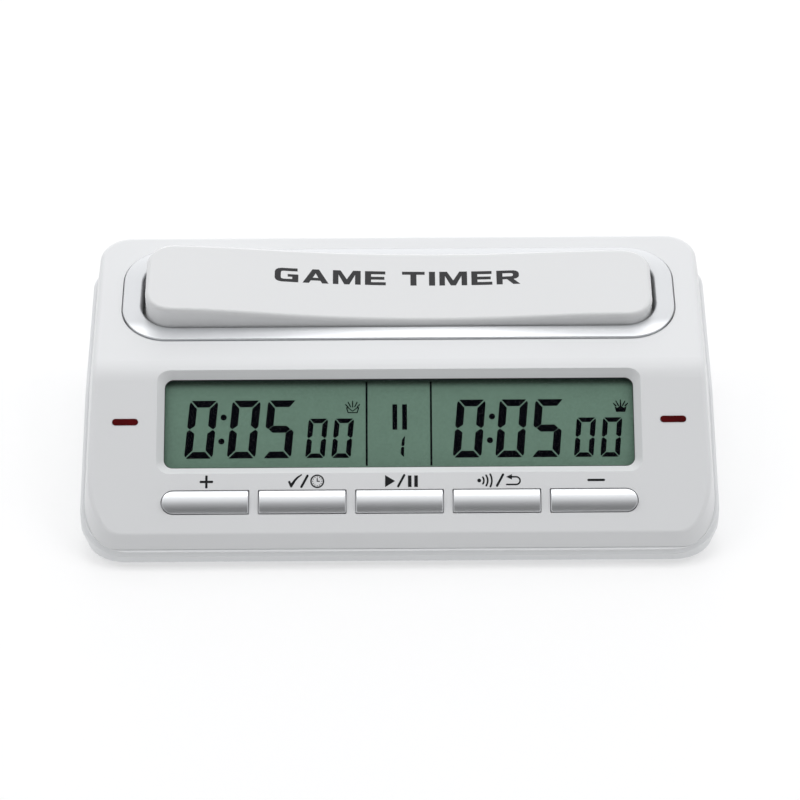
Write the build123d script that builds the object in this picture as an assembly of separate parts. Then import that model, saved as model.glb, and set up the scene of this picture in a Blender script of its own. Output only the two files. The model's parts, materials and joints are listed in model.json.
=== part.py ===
from build123d import *
import os
from collections import namedtuple
from math import acos, cos, pi, radians, sin, sqrt, tan

# Digital chess clock: a wedge-shaped case with a display and five keys on its sloping front
# panel, and a long rocker on top. Millimetres; x runs left to right, y front to back, z up.
# The rubber feet stand on z = 0 and the case is centred on x = y = 0.

os.makedirs("parts", exist_ok=True)

# ---------------------------------------------------------------- case dimensions
CASE_W, CASE_D = 156.0, 86.5    # lower case, x and y
FOOT_H = 1.0                    # the lower case stands this far above the table
LIP = 1.0                       # the lower case stands out this far round the upper case
TRAY_FRONT_R, TRAY_REAR_R = 12.3, 8.2       # plan corner radii of the lower case
UPPER_FRONT_R = 10.1            # plan corner radii of the upper case
UPPER_REAR_R = TRAY_REAR_R - 0.5
HULL_Z = 4.4                    # below this height the lower case's walls lean in
HULL_SIDE, HULL_END = 1.9, 0.35             # lean at the bottom: sides; front and rear
HULL_FRONT_R, HULL_REAR_R = 2.8, 2.0        # loss of corner radius at the bottom
WALL = 2.0
FLOOR_T = 2.4
FLOOR_TOP = FOOT_H + FLOOR_T
SEAM_GAP = 0.13                 # shadow gap between the two cases
CLEAR = 0.02                    # gap between touching parts

DISPLAY_TILT = 35.7             # panels, degrees above horizontal
TOP_TILT = 8.0
BEND_R = 12.0                   # bend between display panel and top panel
SEAM_BEND_R = 15.0
SIDE_LEAN = 9.0                 # side walls lean in by this angle
EDGE_R = 1.4                    # soft edge round the panels

# side outline, (y, z)
SEAM_FRONT = (-42.25, 4.51)
SEAM_BEND = (-1.25, 22.40)
SEAM_REAR = (42.25, 30.10)
DISPLAY_FRONT = (-40.37, 8.04)
PANEL_BEND = (-6.25, 32.56)
TOP_REAR_Y = 41.75
TOP_REAR = (TOP_REAR_Y, PANEL_BEND[1] + (TOP_REAR_Y - PANEL_BEND[0]) * tan(radians(TOP_TILT)))


def panel_plane(origin, tilt):
    """work plane on a panel: x to the right, y up the panel, z out of it"""
    angle = radians(tilt)
    return Plane(origin=(0, *origin), x_dir=(1, 0, 0), z_dir=(0, -sin(angle), cos(angle)))


# On DISPLAY, s runs up the panel from its front edge; on TOP, t runs back from the bend.
# n is the height above the panel. Spans are (from, to).
DISPLAY = panel_plane(DISPLAY_FRONT, DISPLAY_TILT)
TOP = panel_plane(PANEL_BEND, TOP_TILT)

# ---------------------------------------------------------------- features on the panels
# display window
WIN_X, WIN_S, WIN_R, WIN_DEPTH = 57.58, (17.13, 39.80), 2.2, 2.1
FLARE_SIDE, FLARE_BOTTOM, FLARE_TOP = 1.70, 1.97, 2.25  # width of the window's flared edge

# key row: holes, the gap round each key and the flat lip round each crown
KEY_PITCH, KEY_W, KEY_S = 23.63, 21.55, (4.80, 11.00)
KEY_GAP, KEY_LIP = 0.25, 0.14
KEY_CORNER = 0.28
KEY_MID = sum(KEY_S) / 2
KEY_BOTTOM = -3.1
# name and fully rounded end: -1 left, 1 right, 0 none
KEY_ENDS = [("plus", -1), ("time_mode", 0), ("start_pause", 0), ("sound", 0), ("minus", 1)]
KEYS = [(f"key_{name}", (i - 2) * KEY_PITCH, end) for i, (name, end) in enumerate(KEY_ENDS)]

LAMP_X, LAMP_S, LAMP_L, LAMP_H = 67.0, 28.4, 6.3, 1.6

# rocker bezel ring (outer edge) and rocker well (inner edge)
RING_X, RING_T, RING_R = 69.00, (10.02, 42.85), 11.5
WELL_X, WELL_T, WELL_R = 64.35, (14.56, 39.30), 8.4
RING_RIM = 0.52                 # height of the ring's outer rim above the top panel
RING_DISH = 0.22                # height of its dished inner part
RING_BOTTOM = -1.2
RING_GROOVE = 0.30
WELL_DEPTH = 8.0
WELL_MID = sum(WELL_T) / 2

# ---------------------------------------------------------------- rocker dimensions
ROCK_X, ROCK_T, ROCK_R = 63.25, (14.81, 38.90), 6.6
ROCK_TILT = 1.3                 # at rest the left end is up by this angle
ROCK_FRONT_H = 2.0              # top face above the top panel, mid length, front edge
ROCK_REAR_H = 2.65              # the same at the rear edge
ROCK_REAR_BOW = 0.78            # hollow of the rear edge against the front edge
ROCK_EDGE = 1.0                 # soft edge round the top face
ROCK_BOTTOM = -5.9
ROCK_WALL = 1.8
ROCK_PRESS_N = -4.6             # lower end of the tabs that press the plungers
# hollow of the front edge: distance from mid length, rise
BOW = [
    (0, 0), (9.4, 0.11), (16.9, 0.37), (24.3, 0.75), (31.8, 1.29),
    (39.2, 1.86), (46.7, 2.38), (54.0, 2.68), (60.0, 2.78), (66.0, 2.82),
]
PIVOT_N = -3.5
AXLE_R = 1.5
AXLE_T = 17.6                   # front end of the axle bore
RUN = 0.04                      # radial running clearance
LUG_SPANS = ((18.0, 20.0), (33.86, 35.86))      # t of the axle lugs on the case
EAR_SPANS = ((20.6, 22.6), (31.26, 33.26))      # t of the ears on the rocker
WASHER_STARTS = (20.05, 33.31)
AXLE = Plane(origin=TOP.from_local_coords((0, AXLE_T, PIVOT_N)), x_dir=(1, 0, 0),
             z_dir=TOP.y_dir)

PLUNGER_X, PLUNGER_R = 40.0, 2.0
PLUNGER_LEN = 5.28
PLUNGER_HEAD_R, PLUNGER_HEAD_T = 3.4, 0.8

# ---------------------------------------------------------------- boards and screws
BOARD_N, BOARD_T = -8.2, 1.6                    # main board, top face and thickness
SWITCH_BOARD_N, SWITCH_BOARD_T = -15.0, 1.2     # switch board, the same
BOARD_POSTS = [(-67.2, 23.0), (67.2, 23.0), (-67.2, 33.9), (67.2, 33.9)]    # (x, s)
SWITCH_POSTS = [(-22.0, 30.5), (22.0, 30.5)]                                # (x, t)
LCD_BOTTOM = -6.35

CaseScrew = namedtuple("CaseScrew", "x y boss_z pilot_z0 pilot_z1 post_top seat_z length")
CASE_SCREWS = [
    CaseScrew(x, *row)
    for row in ((-32.5, 5.7, 5.0, 9.4, 5.6, 2.6, 6.4), (36.3, 16.1, 15.5, 26.0, 16.0, 13.6, 10.0))
    for x in (-69.5, 69.5)
]
FOOT_XY = [(-61.0, -33.0), (61.0, -33.0), (-58.0, 33.0), (58.0, 33.0)]
FOOT_R = 5.0

# ---------------------------------------------------------------- supply, buzzer, switch
CELL_R, CELL_L = 7.15, 49.2
CELL_Y = (13.75, 28.85)
CELL_Z = 10.25
BAY_X = 29.4                    # cell bay, half width
BAY_Y, BAY_TOP = (5.6, 37.0), 17.9
BAY_WALL = 1.5
DOOR_SLOT_Y, DOOR_Y = 3.4, 3.6  # front end of the door's slot and of the door

BUZZER_X, BUZZER_Y = 46.0, -12.0
SWITCH_X, SWITCH_Y = -46.0, -12.0
SWITCH_TRAVEL = 2.8

CENTRE, LOW = Align.CENTER, Align.MIN
SIDES = (-1, 1)                 # left, right


# ---------------------------------------------------------------- helpers
def joined(*shapes):
    """the single solid of the shapes, or a compound of all their solids"""
    solids = [s for shape in shapes for s in shape.solids()]
    return solids[0] if len(solids) == 1 else Compound(children=solids)


def save(name, *shapes):
    export_step(joined(*shapes), f"parts/{name}.step")


def around(middle, half):
    return middle - half, middle + half


def grown(span, margin):
    return span[0] - margin, span[1] + margin


def block(plane, x, half_x, across, heights, radius=0.0):
    """block on a plane, x +- half_x wide, over the spans across and heights"""
    depth = across[1] - across[0]
    if radius > 0:
        sketch = RectangleRounded(2 * half_x, depth, radius)
    else:
        sketch = Rectangle(2 * half_x, depth)
    body = extrude(sketch, amount=heights[1] - heights[0])
    return plane * (Pos(x, sum(across) / 2, heights[0]) * body)


def disc(plane, x, y, heights, radius):
    body = extrude(Circle(radius), amount=heights[1] - heights[0])
    return plane * (Pos(x, y, heights[0]) * body)


def upright_rod(x, y, z, radius, height):
    """vertical cylinder standing on height z"""
    return Pos(x, y, z) * Cylinder(radius, height, align=(CENTRE, CENTRE, LOW))


def upright_box(x, y, z, width, depth, height, y_align=CENTRE):
    """box standing on height z"""
    return Pos(x, y, z) * Box(width, depth, height, align=(CENTRE, y_align, LOW))


def rounded_face(points):
    """closed face through corners (x, y) or (x, y, radius)"""
    corners = []
    for i, point in enumerate(points):
        corner = Vector(*point[:2])
        before = Vector(*points[i - 1][:2])
        after = Vector(*points[(i + 1) % len(points)][:2])
        radius = point[2] if len(point) > 2 else 0
        if radius <= 0:
            corners.append((corner, None, corner))
            continue
        back, ahead = (before - corner).normalized(), (after - corner).normalized()
        half_angle = acos(max(-1, min(1, back.dot(ahead)))) / 2
        trim = radius / tan(half_angle)
        centre = corner + (back + ahead).normalized() * (radius / sin(half_angle))
        middle = centre + (corner - centre).normalized() * radius
        corners.append((corner + back * trim, middle, corner + ahead * trim))
    edges = []
    for i, (start, middle, end) in enumerate(corners):
        if middle is not None:
            edges.append(Edge.make_three_point_arc(start, middle, end))
        following = corners[(i + 1) % len(corners)][0]
        if (following - end).length > 1e-6:
            edges.append(Edge.make_line(end, following))
    return Face(Wire(edges))


def prism_yz(points, half):
    """outline of (y, z) or (y, z, corner radius) extruded across x"""
    plane = Plane(origin=(-half, 0, 0), x_dir=(0, 1, 0), z_dir=(1, 0, 0))
    return extrude(plane * rounded_face(points), amount=2 * half, dir=(1, 0, 0))


# lines in the side view are pairs of (y, z) points
def level(z):
    return (-90.0, z), (90.0, z)


def upright(y):
    return (y, -200.0), (y, 200.0)


def shifted(start, end, distance):
    """line start-end moved to its right"""
    dy, dz = end[0] - start[0], end[1] - start[1]
    length = sqrt(dy * dy + dz * dz)
    move_y, move_z = distance * dz / length, -distance * dy / length
    return (start[0] + move_y, start[1] + move_z), (end[0] + move_y, end[1] + move_z)


def meet(line_a, line_b):
    """crossing point of two lines"""
    (y1, z1), (y2, z2) = line_a
    (y3, z3), (y4, z4) = line_b
    det = (y1 - y2) * (z3 - z4) - (z1 - z2) * (y3 - y4)
    cross_a, cross_b = y1 * z2 - z1 * y2, y3 * z4 - z3 * y4
    return ((cross_a * (y3 - y4) - (y1 - y2) * cross_b) / det,
            (cross_a * (z3 - z4) - (z1 - z2) * cross_b) / det)


def seam(rise):
    """front and rear line of the seam between the cases, raised by rise"""
    front, bend, rear = ((y, z + rise) for y, z in (SEAM_FRONT, SEAM_BEND, SEAM_REAR))
    return (front, bend), (bend, rear)


def border_edges(faces):
    """edges that belong to only one of the faces"""
    found = {}
    for face in faces:
        for edge in face.edges():
            place = edge.center()
            key = tuple(round(v, 2) for v in (place.X, place.Y, place.Z, edge.length))
            found.setdefault(key, []).append(edge)
    return [edges[0] for edges in found.values() if len(edges) == 1]


# ---------------------------------------------------------------- bodies of the upper case
def outside_side(side, start, end, inset):
    """everything beyond a leaning side wall whose foot runs along the seam start-end"""
    length = sqrt((end[0] - start[0]) ** 2 + (end[1] - start[1]) ** 2)
    along_y, along_z = (end[0] - start[0]) / length, (end[1] - start[1]) / length
    lean = radians(SIDE_LEAN)
    normal = Vector(side * cos(lean), -along_z * sin(lean), along_y * sin(lean))
    origin = Vector(side * (CASE_W / 2 - LIP), *start) - normal * inset
    plane = Plane(origin=origin, x_dir=(0, along_y, along_z), z_dir=normal)
    return plane * Box(420, 420, 60, align=(CENTRE, CENTRE, LOW))


def wall_block(inset):
    """tall block bounded by the upper case's four walls, moved in by inset"""
    front = shifted(SEAM_FRONT, DISPLAY_FRONT, inset)
    rear = shifted(TOP_REAR, SEAM_REAR, inset)
    low, high = level(-12.0), level(62.0)
    corners = [meet(front, low), meet(front, high), meet(rear, high), meet(rear, low)]
    body = prism_yz(corners, 90)
    for side in SIDES:
        body -= outside_side(side, SEAM_FRONT, SEAM_BEND, inset)
        body -= outside_side(side, SEAM_BEND, SEAM_REAR, inset)
    body = body.solids()[0]

    def is_corner(edge, line):
        (y0, z0), (y1, z1) = line
        length = sqrt((y1 - y0) ** 2 + (z1 - z0) ** 2)
        off_line = max(abs((v.Y - y0) * (z1 - z0) - (v.Z - z0) * (y1 - y0)) / length
                       for v in edge.vertices())
        return (off_line < 0.01 and abs(edge.center().X) > 50
                and edge.bounding_box().size.X < 20)

    for line, radius in ((front, UPPER_FRONT_R), (rear, UPPER_REAR_R)):
        body = body.fillet(radius - inset, [e for e in body.edges() if is_corner(e, line)])
    return body


def panel_cap(inset):
    """display panel line, and outline points from the panel bend to behind the case"""
    display = shifted(DISPLAY_FRONT, PANEL_BEND, inset)
    top = shifted(PANEL_BEND, TOP_REAR, inset)
    return display, [(*meet(display, top), BEND_R - inset), meet(top, upright(70.0))]


def inner_body(side_inset, panel_inset, down):
    """upper case form moved in from walls and panels, reaching down to z = -down"""
    walls = wall_block(side_inset)
    display, cap = panel_cap(panel_inset)
    outline = cap + [(70.0, -down), meet(display, level(-down))]
    return (walls & prism_yz(outline, 95)).solids()[0]


def outer_body():
    """outside of the upper case, down to the shadow gap, with soft panel edges"""
    walls = wall_block(0)
    display, cap = panel_cap(0)
    front_seam, rear_seam = seam(SEAM_GAP)
    outline = [meet(display, front_seam), *cap, meet(rear_seam, upright(70.0)),
               (*rear_seam[0], SEAM_BEND_R)]
    body = (walls & prism_yz(outline, 95)).solids()[0]
    panels = [f for f in body.faces() if f.normal_at(f.center()).Z > 0.6 and f.area > 60]
    return joined(body.fillet(EDGE_R, border_edges(panels)))


# ---------------------------------------------------------------- bodies of the lower case
def seam_below(rise):
    """everything under the seam surface raised by rise"""
    front, rear = seam(rise)
    return prism_yz([(-60.0, -25.0), meet(front, upright(-60.0)), (*rear[0], SEAM_BEND_R),
                     meet(rear, upright(60.0)), (60.0, -25.0)], 100)


def tray_outline(side_inset, end_inset, front_r, rear_r):
    """plan outline of the lower case, moved in at the sides and at front and rear"""
    x, y = CASE_W / 2 - side_inset, CASE_D / 2 - end_inset
    return rounded_face([(-x, -y, front_r), (x, -y, front_r), (x, y, rear_r), (-x, y, rear_r)])


def tray_prism(inset, z0, z1):
    outline = tray_outline(inset, inset, TRAY_FRONT_R - inset, TRAY_REAR_R - inset)
    return Pos(0, 0, z0) * extrude(outline, amount=z1 - z0)


def hull_cut():
    """everything outside the inward leaning foot of the lower case"""
    def section(z):
        lean = (HULL_Z - z) / (HULL_Z - FOOT_H)
        return Pos(0, 0, z) * tray_outline(
            HULL_SIDE * lean, HULL_END * lean,
            TRAY_FRONT_R - HULL_FRONT_R * lean, TRAY_REAR_R - HULL_REAR_R * lean)

    return upright_box(0, 0, -0.5, 300, 300, 5.9) - loft([section(-1.0), section(6.0)], ruled=True)


# ---------------------------------------------------------------- upper case
def inside_thickening():
    """pads, well walls and screw posts inside the upper case, kept within its skin"""
    thick = block(DISPLAY, 0, 62.2, (13.7, 43.4), (-2.6, -1.9))
    thick += block(TOP, 0, RING_X + 1.6, grown(RING_T, 1.6), (-3.4, -1.8), RING_R + 1.6)
    thick += block(TOP, 0, WELL_X + 1.8, grown(WELL_T, 1.8), (-WELL_DEPTH - 1.8, -1.8),
                   WELL_R + 1.8)
    for x, s in BOARD_POSTS:
        thick += disc(DISPLAY, x, s, (BOARD_N, -1.8), 2.3)
    for x, t in SWITCH_POSTS:
        thick += disc(TOP, x, t, (SWITCH_BOARD_N, -9.0), 2.2)
    for screw in CASE_SCREWS:
        thick += upright_rod(screw.x, screw.y, screw.boss_z, 3.1, 40)
    return thick & inner_body(0.9, 0.9, 5)


def window_flare():
    """tapered cut of the window, carried on to 1 mm above the panel"""
    above = 1.0
    reach = (WIN_DEPTH + above) / WIN_DEPTH
    height = WIN_S[1] - WIN_S[0]
    outer_s = (sum(WIN_S) + (FLARE_TOP - FLARE_BOTTOM) * reach) / 2
    outer = Pos(0, outer_s, above) * RectangleRounded(
        2 * WIN_X + 2 * FLARE_SIDE * reach,
        height + (FLARE_BOTTOM + FLARE_TOP) * reach, WIN_R + 1.5)
    inner = Pos(0, sum(WIN_S) / 2, -WIN_DEPTH) * RectangleRounded(2 * WIN_X, height, WIN_R)
    return DISPLAY * loft([inner, outer])


def key_outline(x, width, span, end):
    """key outline; end -1 or 1 rounds that end fully, 0 keeps both ends square"""
    height = span[1] - span[0]
    radius = height / 2
    middle = sum(span) / 2
    if end == 0:
        return Pos(x, middle) * RectangleRounded(width, height, KEY_CORNER)
    sketch = Pos(x - end * radius / 2, middle) * Rectangle(width - radius, height)
    sketch += Pos(x + end * (width / 2 - radius), middle) * Circle(radius)
    square_end = [v for v in sketch.vertices() if abs(v.X - (x - end * width / 2)) < 0.01]
    return fillet(square_end, KEY_CORNER)


def upper_case():
    outside = outer_body()
    case = (outside - inner_body(WALL, WALL, 5)) + inside_thickening()
    case -= window_flare()
    case -= block(DISPLAY, 0, WIN_X, WIN_S, (-6, -WIN_DEPTH + 0.01), WIN_R)
    for _, x, end in KEYS:
        hole = extrude(key_outline(x, KEY_W, KEY_S, end), amount=6)
        case -= DISPLAY * (Pos(0, 0, -4) * hole)
    for side in SIDES:
        case -= block(DISPLAY, side * LAMP_X, LAMP_L / 2 + 0.05,
                      around(LAMP_S, LAMP_H / 2 + 0.05), (-4, 1), LAMP_H / 2 + 0.04)

    # seat for the bezel ring, then the rocker well
    case -= block(TOP, 0, RING_X + RING_GROOVE, grown(RING_T, RING_GROOVE), (-1.25, 6),
                  RING_R + RING_GROOVE)
    case -= block(TOP, 0, WELL_X, WELL_T, (-WELL_DEPTH, 6), WELL_R)

    # axle lugs with their bore, and plunger guide holes
    front_lug, rear_lug = (block(TOP, 0, 2.8, span, (-WELL_DEPTH - 0.5, -1.7))
                           for span in LUG_SPANS)
    case += front_lug + rear_lug
    case -= AXLE * extrude(Circle(AXLE_R + 0.01), amount=18.7)
    for side in SIDES:
        case -= disc(TOP, side * PLUNGER_X, WELL_MID, (-WELL_DEPTH - 4, -WELL_DEPTH + 1),
                     PLUNGER_R + RUN)

    # screw pilots
    for x, s in BOARD_POSTS:
        case -= disc(DISPLAY, x, s, (BOARD_N - 0.5, -3.6), 0.92)
    for x, t in SWITCH_POSTS:
        case -= disc(TOP, x, t, (SWITCH_BOARD_N - 0.5, -9.9), 0.92)
    for screw in CASE_SCREWS:
        case -= upright_rod(screw.x, screw.y, screw.pilot_z0, 1.27,
                            screw.pilot_z1 - screw.pilot_z0)
    return case


# ---------------------------------------------------------------- lower case
def lower_shell():
    """tray with chamfered rim and leaning foot, plus a ledge and a tongue along the seam"""
    hull = hull_cut()
    tray = (tray_prism(0, FOOT_H, 60) & seam_below(0)).solids()[0]
    rim_faces = [f for f in tray.faces() if f.normal_at(f.center()).Z > 0.5]
    tray = tray.chamfer(1.03, None, border_edges(rim_faces))
    tray = (tray - hull).solids()[0]
    tray = tray.fillet(0.8, [e for e in tray.edges()
                             if abs(e.bounding_box().max.Z - FOOT_H) < 0.01])
    inside = tray_prism(WALL, FLOOR_TOP, 60)
    ledge_band = seam_below(0) - seam_below(-2.2)
    tongue_band = seam_below(2.0) - seam_below(-0.6)
    ledge = (tray_prism(0.6, 2, 60) & ledge_band) - inner_body(3.45, 3.45, 9)
    tongue = (inner_body(2.15, 2.4, 9) & tongue_band) - inner_body(3.45, 1.0, 9)
    shell = (tray - inside) + ((ledge & seam_below(0)) - hull)
    return shell + (tongue & tray_prism(1.2, 2, 60))


def lower_case():
    case = lower_shell()
    # room for the upper case's bosses, and posts that meet them
    for screw in CASE_SCREWS:
        case -= upright_rod(screw.x, screw.y, 5.0, 3.4, 60)
    post_z = FLOOR_TOP - 0.2
    for screw in CASE_SCREWS:
        case += upright_rod(screw.x, screw.y, post_z, 4.0, screw.post_top - post_z)

    # cell bay, open below, with a slot and side grooves for the door
    bay_mid, bay_depth, bay_z = sum(BAY_Y) / 2, BAY_Y[1] - BAY_Y[0], 2.75
    outer_w = 2 * (BAY_X + BAY_WALL)
    case += upright_box(0, bay_mid, bay_z, 2 * BAY_X + 2 * BAY_WALL, bay_depth + 2 * BAY_WALL,
                        BAY_TOP + 1.2 - bay_z)
    case -= upright_box(0, bay_mid, -1, 2 * BAY_X, bay_depth, BAY_TOP + 1)
    case -= upright_box(0, DOOR_SLOT_Y, 0, 2 * BAY_X, 60, 2.7, LOW)
    case -= upright_box(0, DOOR_SLOT_Y, 1.75, outer_w, 60, 0.95, LOW)
    # rib that keeps the cells apart
    case += upright_box(0, sum(CELL_Y) / 2, 15.5, 2 * BAY_X, 0.7, BAY_TOP - 15.5 + 0.3)

    # screw head recesses and shank holes, foot recesses
    for screw in CASE_SCREWS:
        case -= upright_rod(screw.x, screw.y, 0, 2.9, screw.seat_z)
        case -= upright_rod(screw.x, screw.y, 0, 1.45, 17)
    for x, y in FOOT_XY:
        case -= upright_rod(x, y, 0, FOOT_R + 0.1, FOOT_H + 0.8)

    # holes under the buzzer: six in a circle, then one in the middle
    circle = [(3.2 * cos(i * pi / 3), 3.2 * sin(i * pi / 3)) for i in range(6)]
    for dx, dy in circle + [(0, 0)]:
        case -= upright_rod(BUZZER_X + dx, BUZZER_Y + dy, 0, 0.7, 6)

    # power switch recess and slot
    case -= Pos(SWITCH_X, SWITCH_Y, 0) * extrude(RectangleRounded(9.6, 5.6, 1.0), amount=2.0)
    case -= upright_box(SWITCH_X, SWITCH_Y, 0, 6.3, 2.7, 6)
    return case


def battery_door():
    depth = CASE_D / 2 - DOOR_Y
    door = upright_box(0, DOOR_Y, FOOT_H, 2 * (BAY_X - 0.2), depth, 1.6, LOW)
    door = (door - hull_cut()).solids()[0]
    door = door.fillet(0.8, [e for e in door.edges()
                             if abs(e.center().Y - CASE_D / 2 + HULL_END) < 0.01
                             and abs(e.center().Z - FOOT_H) < 0.01])
    # flanges that run in the grooves of the case
    door += upright_box(0, DOOR_Y, 1.85, 2 * (BAY_X + 1.3), depth - 0.6, 0.75, LOW)
    # six grooves across the underside, shorter towards both ends of the row
    for i in range(6):
        groove = RectangleRounded(22 - abs(i - 2.5) * 2, 0.9, 0.4)
        door -= Pos(0, 30.5 + i * 1.9, FOOT_H) * extrude(groove, amount=0.45)
    return door


# ---------------------------------------------------------------- bezel ring
def ring_section():
    """section from the outer wall inwards: raised rim, then a shallow dish"""
    width = 5.4
    rim_end, dish_end = Vector(0.30, RING_RIM), Vector(width, RING_DISH)
    dish_mid = Vector(2.45, RING_DISH + (RING_RIM - RING_DISH) * 0.23)
    foot_out, foot_in = Vector(0, RING_BOTTOM), Vector(width, RING_BOTTOM)
    rim = [foot_out, Vector(0, RING_RIM - 0.14), Vector(0.15, RING_RIM), rim_end]
    edges = [Edge.make_line(start, end) for start, end in zip(rim, rim[1:])]
    edges.append(Edge.make_three_point_arc(rim_end, dish_mid, dish_end))
    edges += [Edge.make_line(dish_end, foot_in), Edge.make_line(foot_in, foot_out)]
    return Face(Wire(edges))


def bezel_ring():
    middle = sum(RING_T) / 2
    outline = RectangleRounded(2 * RING_X, RING_T[1] - RING_T[0], RING_R)
    path = (TOP * (Pos(0, middle) * outline)).wires()[0]
    start = TOP.to_local_coords(path @ 0)
    heading = TOP.to_local_coords(path @ 0 + path % 0) - start
    inward = Vector(-heading.Y, heading.X, 0)
    if inward.dot(Vector(0, middle, 0) - start) < 0:
        inward = -inward
    section_plane = Plane(origin=start, x_dir=inward, z_dir=inward.cross(Vector(0, 0, 1)))
    ring = sweep(TOP * (section_plane * ring_section()), path=path)
    ring = ring.solids()[0] - block(TOP, 0, WELL_X, WELL_T, (-3, 3), WELL_R)
    ring = ring.solids()[0]

    def on_upper_inner_edge(edge):
        points = [TOP.to_local_coords(edge @ v) for v in (0, 0.5, 1)]
        inside = all(abs(p.X) < WELL_X + 0.01 and WELL_T[0] - 0.01 < p.Y < WELL_T[1] + 0.01
                     for p in points)
        return inside and min(p.Z for p in points) > -0.3

    return ring.fillet(0.5, [e for e in ring.edges() if on_upper_inner_edge(e)])


# ---------------------------------------------------------------- rocker and axle
def under_rocker_top(drop, depth):
    """body under the rocker's hollowed top face lowered by drop, down to n = -depth"""
    sections = []
    for t in (8.0, 45.0):
        back = (t - ROCK_T[0]) / (ROCK_T[1] - ROCK_T[0])
        curve = []
        for x, rise in [(-x, rise) for x, rise in reversed(BOW[1:])] + BOW:
            front_n = ROCK_FRONT_H + rise
            rear_n = ROCK_REAR_H + ROCK_REAR_BOW * rise
            curve.append(Vector(x, front_n * (1 - back) + rear_n * back - drop))
        left, right = curve[0], curve[-1]
        low_left, low_right = Vector(left.X, -depth), Vector(right.X, -depth)
        plane = Plane(origin=TOP.from_local_coords((0, t, 0)), x_dir=(1, 0, 0),
                      z_dir=-TOP.y_dir)
        edges = [Edge.make_spline(curve), Edge.make_line(right, low_right),
                 Edge.make_line(low_right, low_left), Edge.make_line(low_left, left)]
        sections.append(plane * Face(Wire(edges)))
    return loft(sections, ruled=True)


def rocker():
    outer = block(TOP, 0, ROCK_X, ROCK_T, (ROCK_BOTTOM, 12), ROCK_R) & under_rocker_top(0, 12)
    outer = outer.solids()[0]
    tops = [f for f in outer.faces() if f.normal_at(f.center()).Z > 0.6 and f.area > 300]
    outer = outer.fillet(ROCK_EDGE, [e for f in tops for e in f.edges()])
    hollow = block(TOP, 0, ROCK_X - ROCK_WALL, grown(ROCK_T, -ROCK_WALL), (-20, 12),
                   ROCK_R - ROCK_WALL) & under_rocker_top(1.9, 30)
    body = outer - hollow

    # axle ears, and at each end a cross rib with a tab that presses the plunger
    front_ear, rear_ear = (block(TOP, 0, 3.4, span, (-6.4, 5)) for span in EAR_SPANS)
    inside = front_ear + rear_ear
    for side in SIDES:
        x = side * PLUNGER_X
        inside += block(TOP, x, 1, around(WELL_MID, 9.0), (-2.0, 8))
        inside += block(TOP, x, 1, around(WELL_MID, 2.6), (ROCK_PRESS_N, 8))
    body += inside & under_rocker_top(0.8, 12)
    body -= AXLE * extrude(Circle(AXLE_R + RUN), amount=20)
    pivot = Axis(TOP.from_local_coords((0, 0, PIVOT_N)), TOP.y_dir)
    return joined(body).rotate(pivot, ROCK_TILT)


def washer(start_t):
    ring = extrude(Circle(2.9) - Circle(AXLE_R + 0.05), amount=0.5)
    return AXLE * (Pos(0, 0, start_t - AXLE_T) * ring)


# ---------------------------------------------------------------- plungers and switches
def coil(helix, wire_r):
    section = Plane(origin=helix @ 0, z_dir=helix % 0) * Circle(wire_r)
    return sweep(section, path=helix, is_frenet=True)


def save_plungers():
    """plungers under the tilted rocker's tabs, each with its spring"""
    tilt = radians(ROCK_TILT)
    tab_n = (ROCK_PRESS_N - PIVOT_N) * cos(tilt) + PIVOT_N
    for name, side in (("left_plunger", -1), ("right_plunger", 1)):
        x = side * PLUNGER_X
        top_n = tab_n - side * (PLUNGER_X + side) * sin(tilt) - RUN
        head_n = top_n - PLUNGER_HEAD_T
        head = disc(TOP, x, WELL_MID, (head_n, top_n), PLUNGER_HEAD_R)
        stem = disc(TOP, x, WELL_MID, (top_n - PLUNGER_LEN, top_n - 0.7), PLUNGER_R)
        save(name, head + stem)
        height = head_n + WELL_DEPTH - 0.4 - 0.08
        helix = Helix(pitch=height / 2.5, height=height, radius=2.75)
        save(name + "_spring", TOP * (Pos(x, WELL_MID, -WELL_DEPTH + 0.24) * coil(helix, 0.2)))


def tact_switch(side):
    x = side * PLUNGER_X
    body = block(TOP, x, 3, around(WELL_MID, 3), (SWITCH_BOARD_N + CLEAR, -11.6), 0.4)
    return body + disc(TOP, x, WELL_MID, (-11.7, -10.9), 1.7)


def switch_board():
    board = block(TOP, 0, 46, (20.4, 34.0), (SWITCH_BOARD_N - SWITCH_BOARD_T, SWITCH_BOARD_N), 1.0)
    for x, t in SWITCH_POSTS:
        board -= disc(TOP, x, t, (SWITCH_BOARD_N - 2, SWITCH_BOARD_N + 1), 1.1)
    return board


# ---------------------------------------------------------------- keys
def key_cap(x, end):
    """key with a crown arched from front to rear, and a flange below the panel"""
    width, span = KEY_W - 2 * KEY_GAP, grown(KEY_S, -KEY_GAP)
    half = (span[1] - span[0]) / 2 - KEY_LIP
    body = DISPLAY * (Pos(0, 0, KEY_BOTTOM) * extrude(key_outline(x, width, span, end),
                                                      amount=3.16))
    crown_rise, crown_edge_n = 0.80, 0.16
    radius = (half * half + crown_rise * crown_rise) / (2 * crown_rise)
    plane = Plane(origin=DISPLAY.from_local_coords((x - 20, 0, 0)), x_dir=DISPLAY.y_dir,
                  z_dir=(1, 0, 0))
    arch_n = crown_edge_n + crown_rise - radius
    arch = extrude(plane * (Pos(KEY_MID, arch_n) * Circle(radius)), amount=40)
    crown_outline = key_outline(x, width - 2 * KEY_LIP, grown(span, -KEY_LIP), end)
    crown = DISPLAY * (Pos(0, 0, -0.5) * extrude(crown_outline, amount=4))
    body = (body + (crown & arch)).solids()[0]
    return body + block(DISPLAY, x, 11.3, around(KEY_MID, 3.6), (KEY_BOTTOM, -2.35), 1.0)


def key_rubber(x):
    return block(DISPLAY, x, 5, around(KEY_MID, 1.45), (-7.12, KEY_BOTTOM - CLEAR), 1.0)


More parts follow.
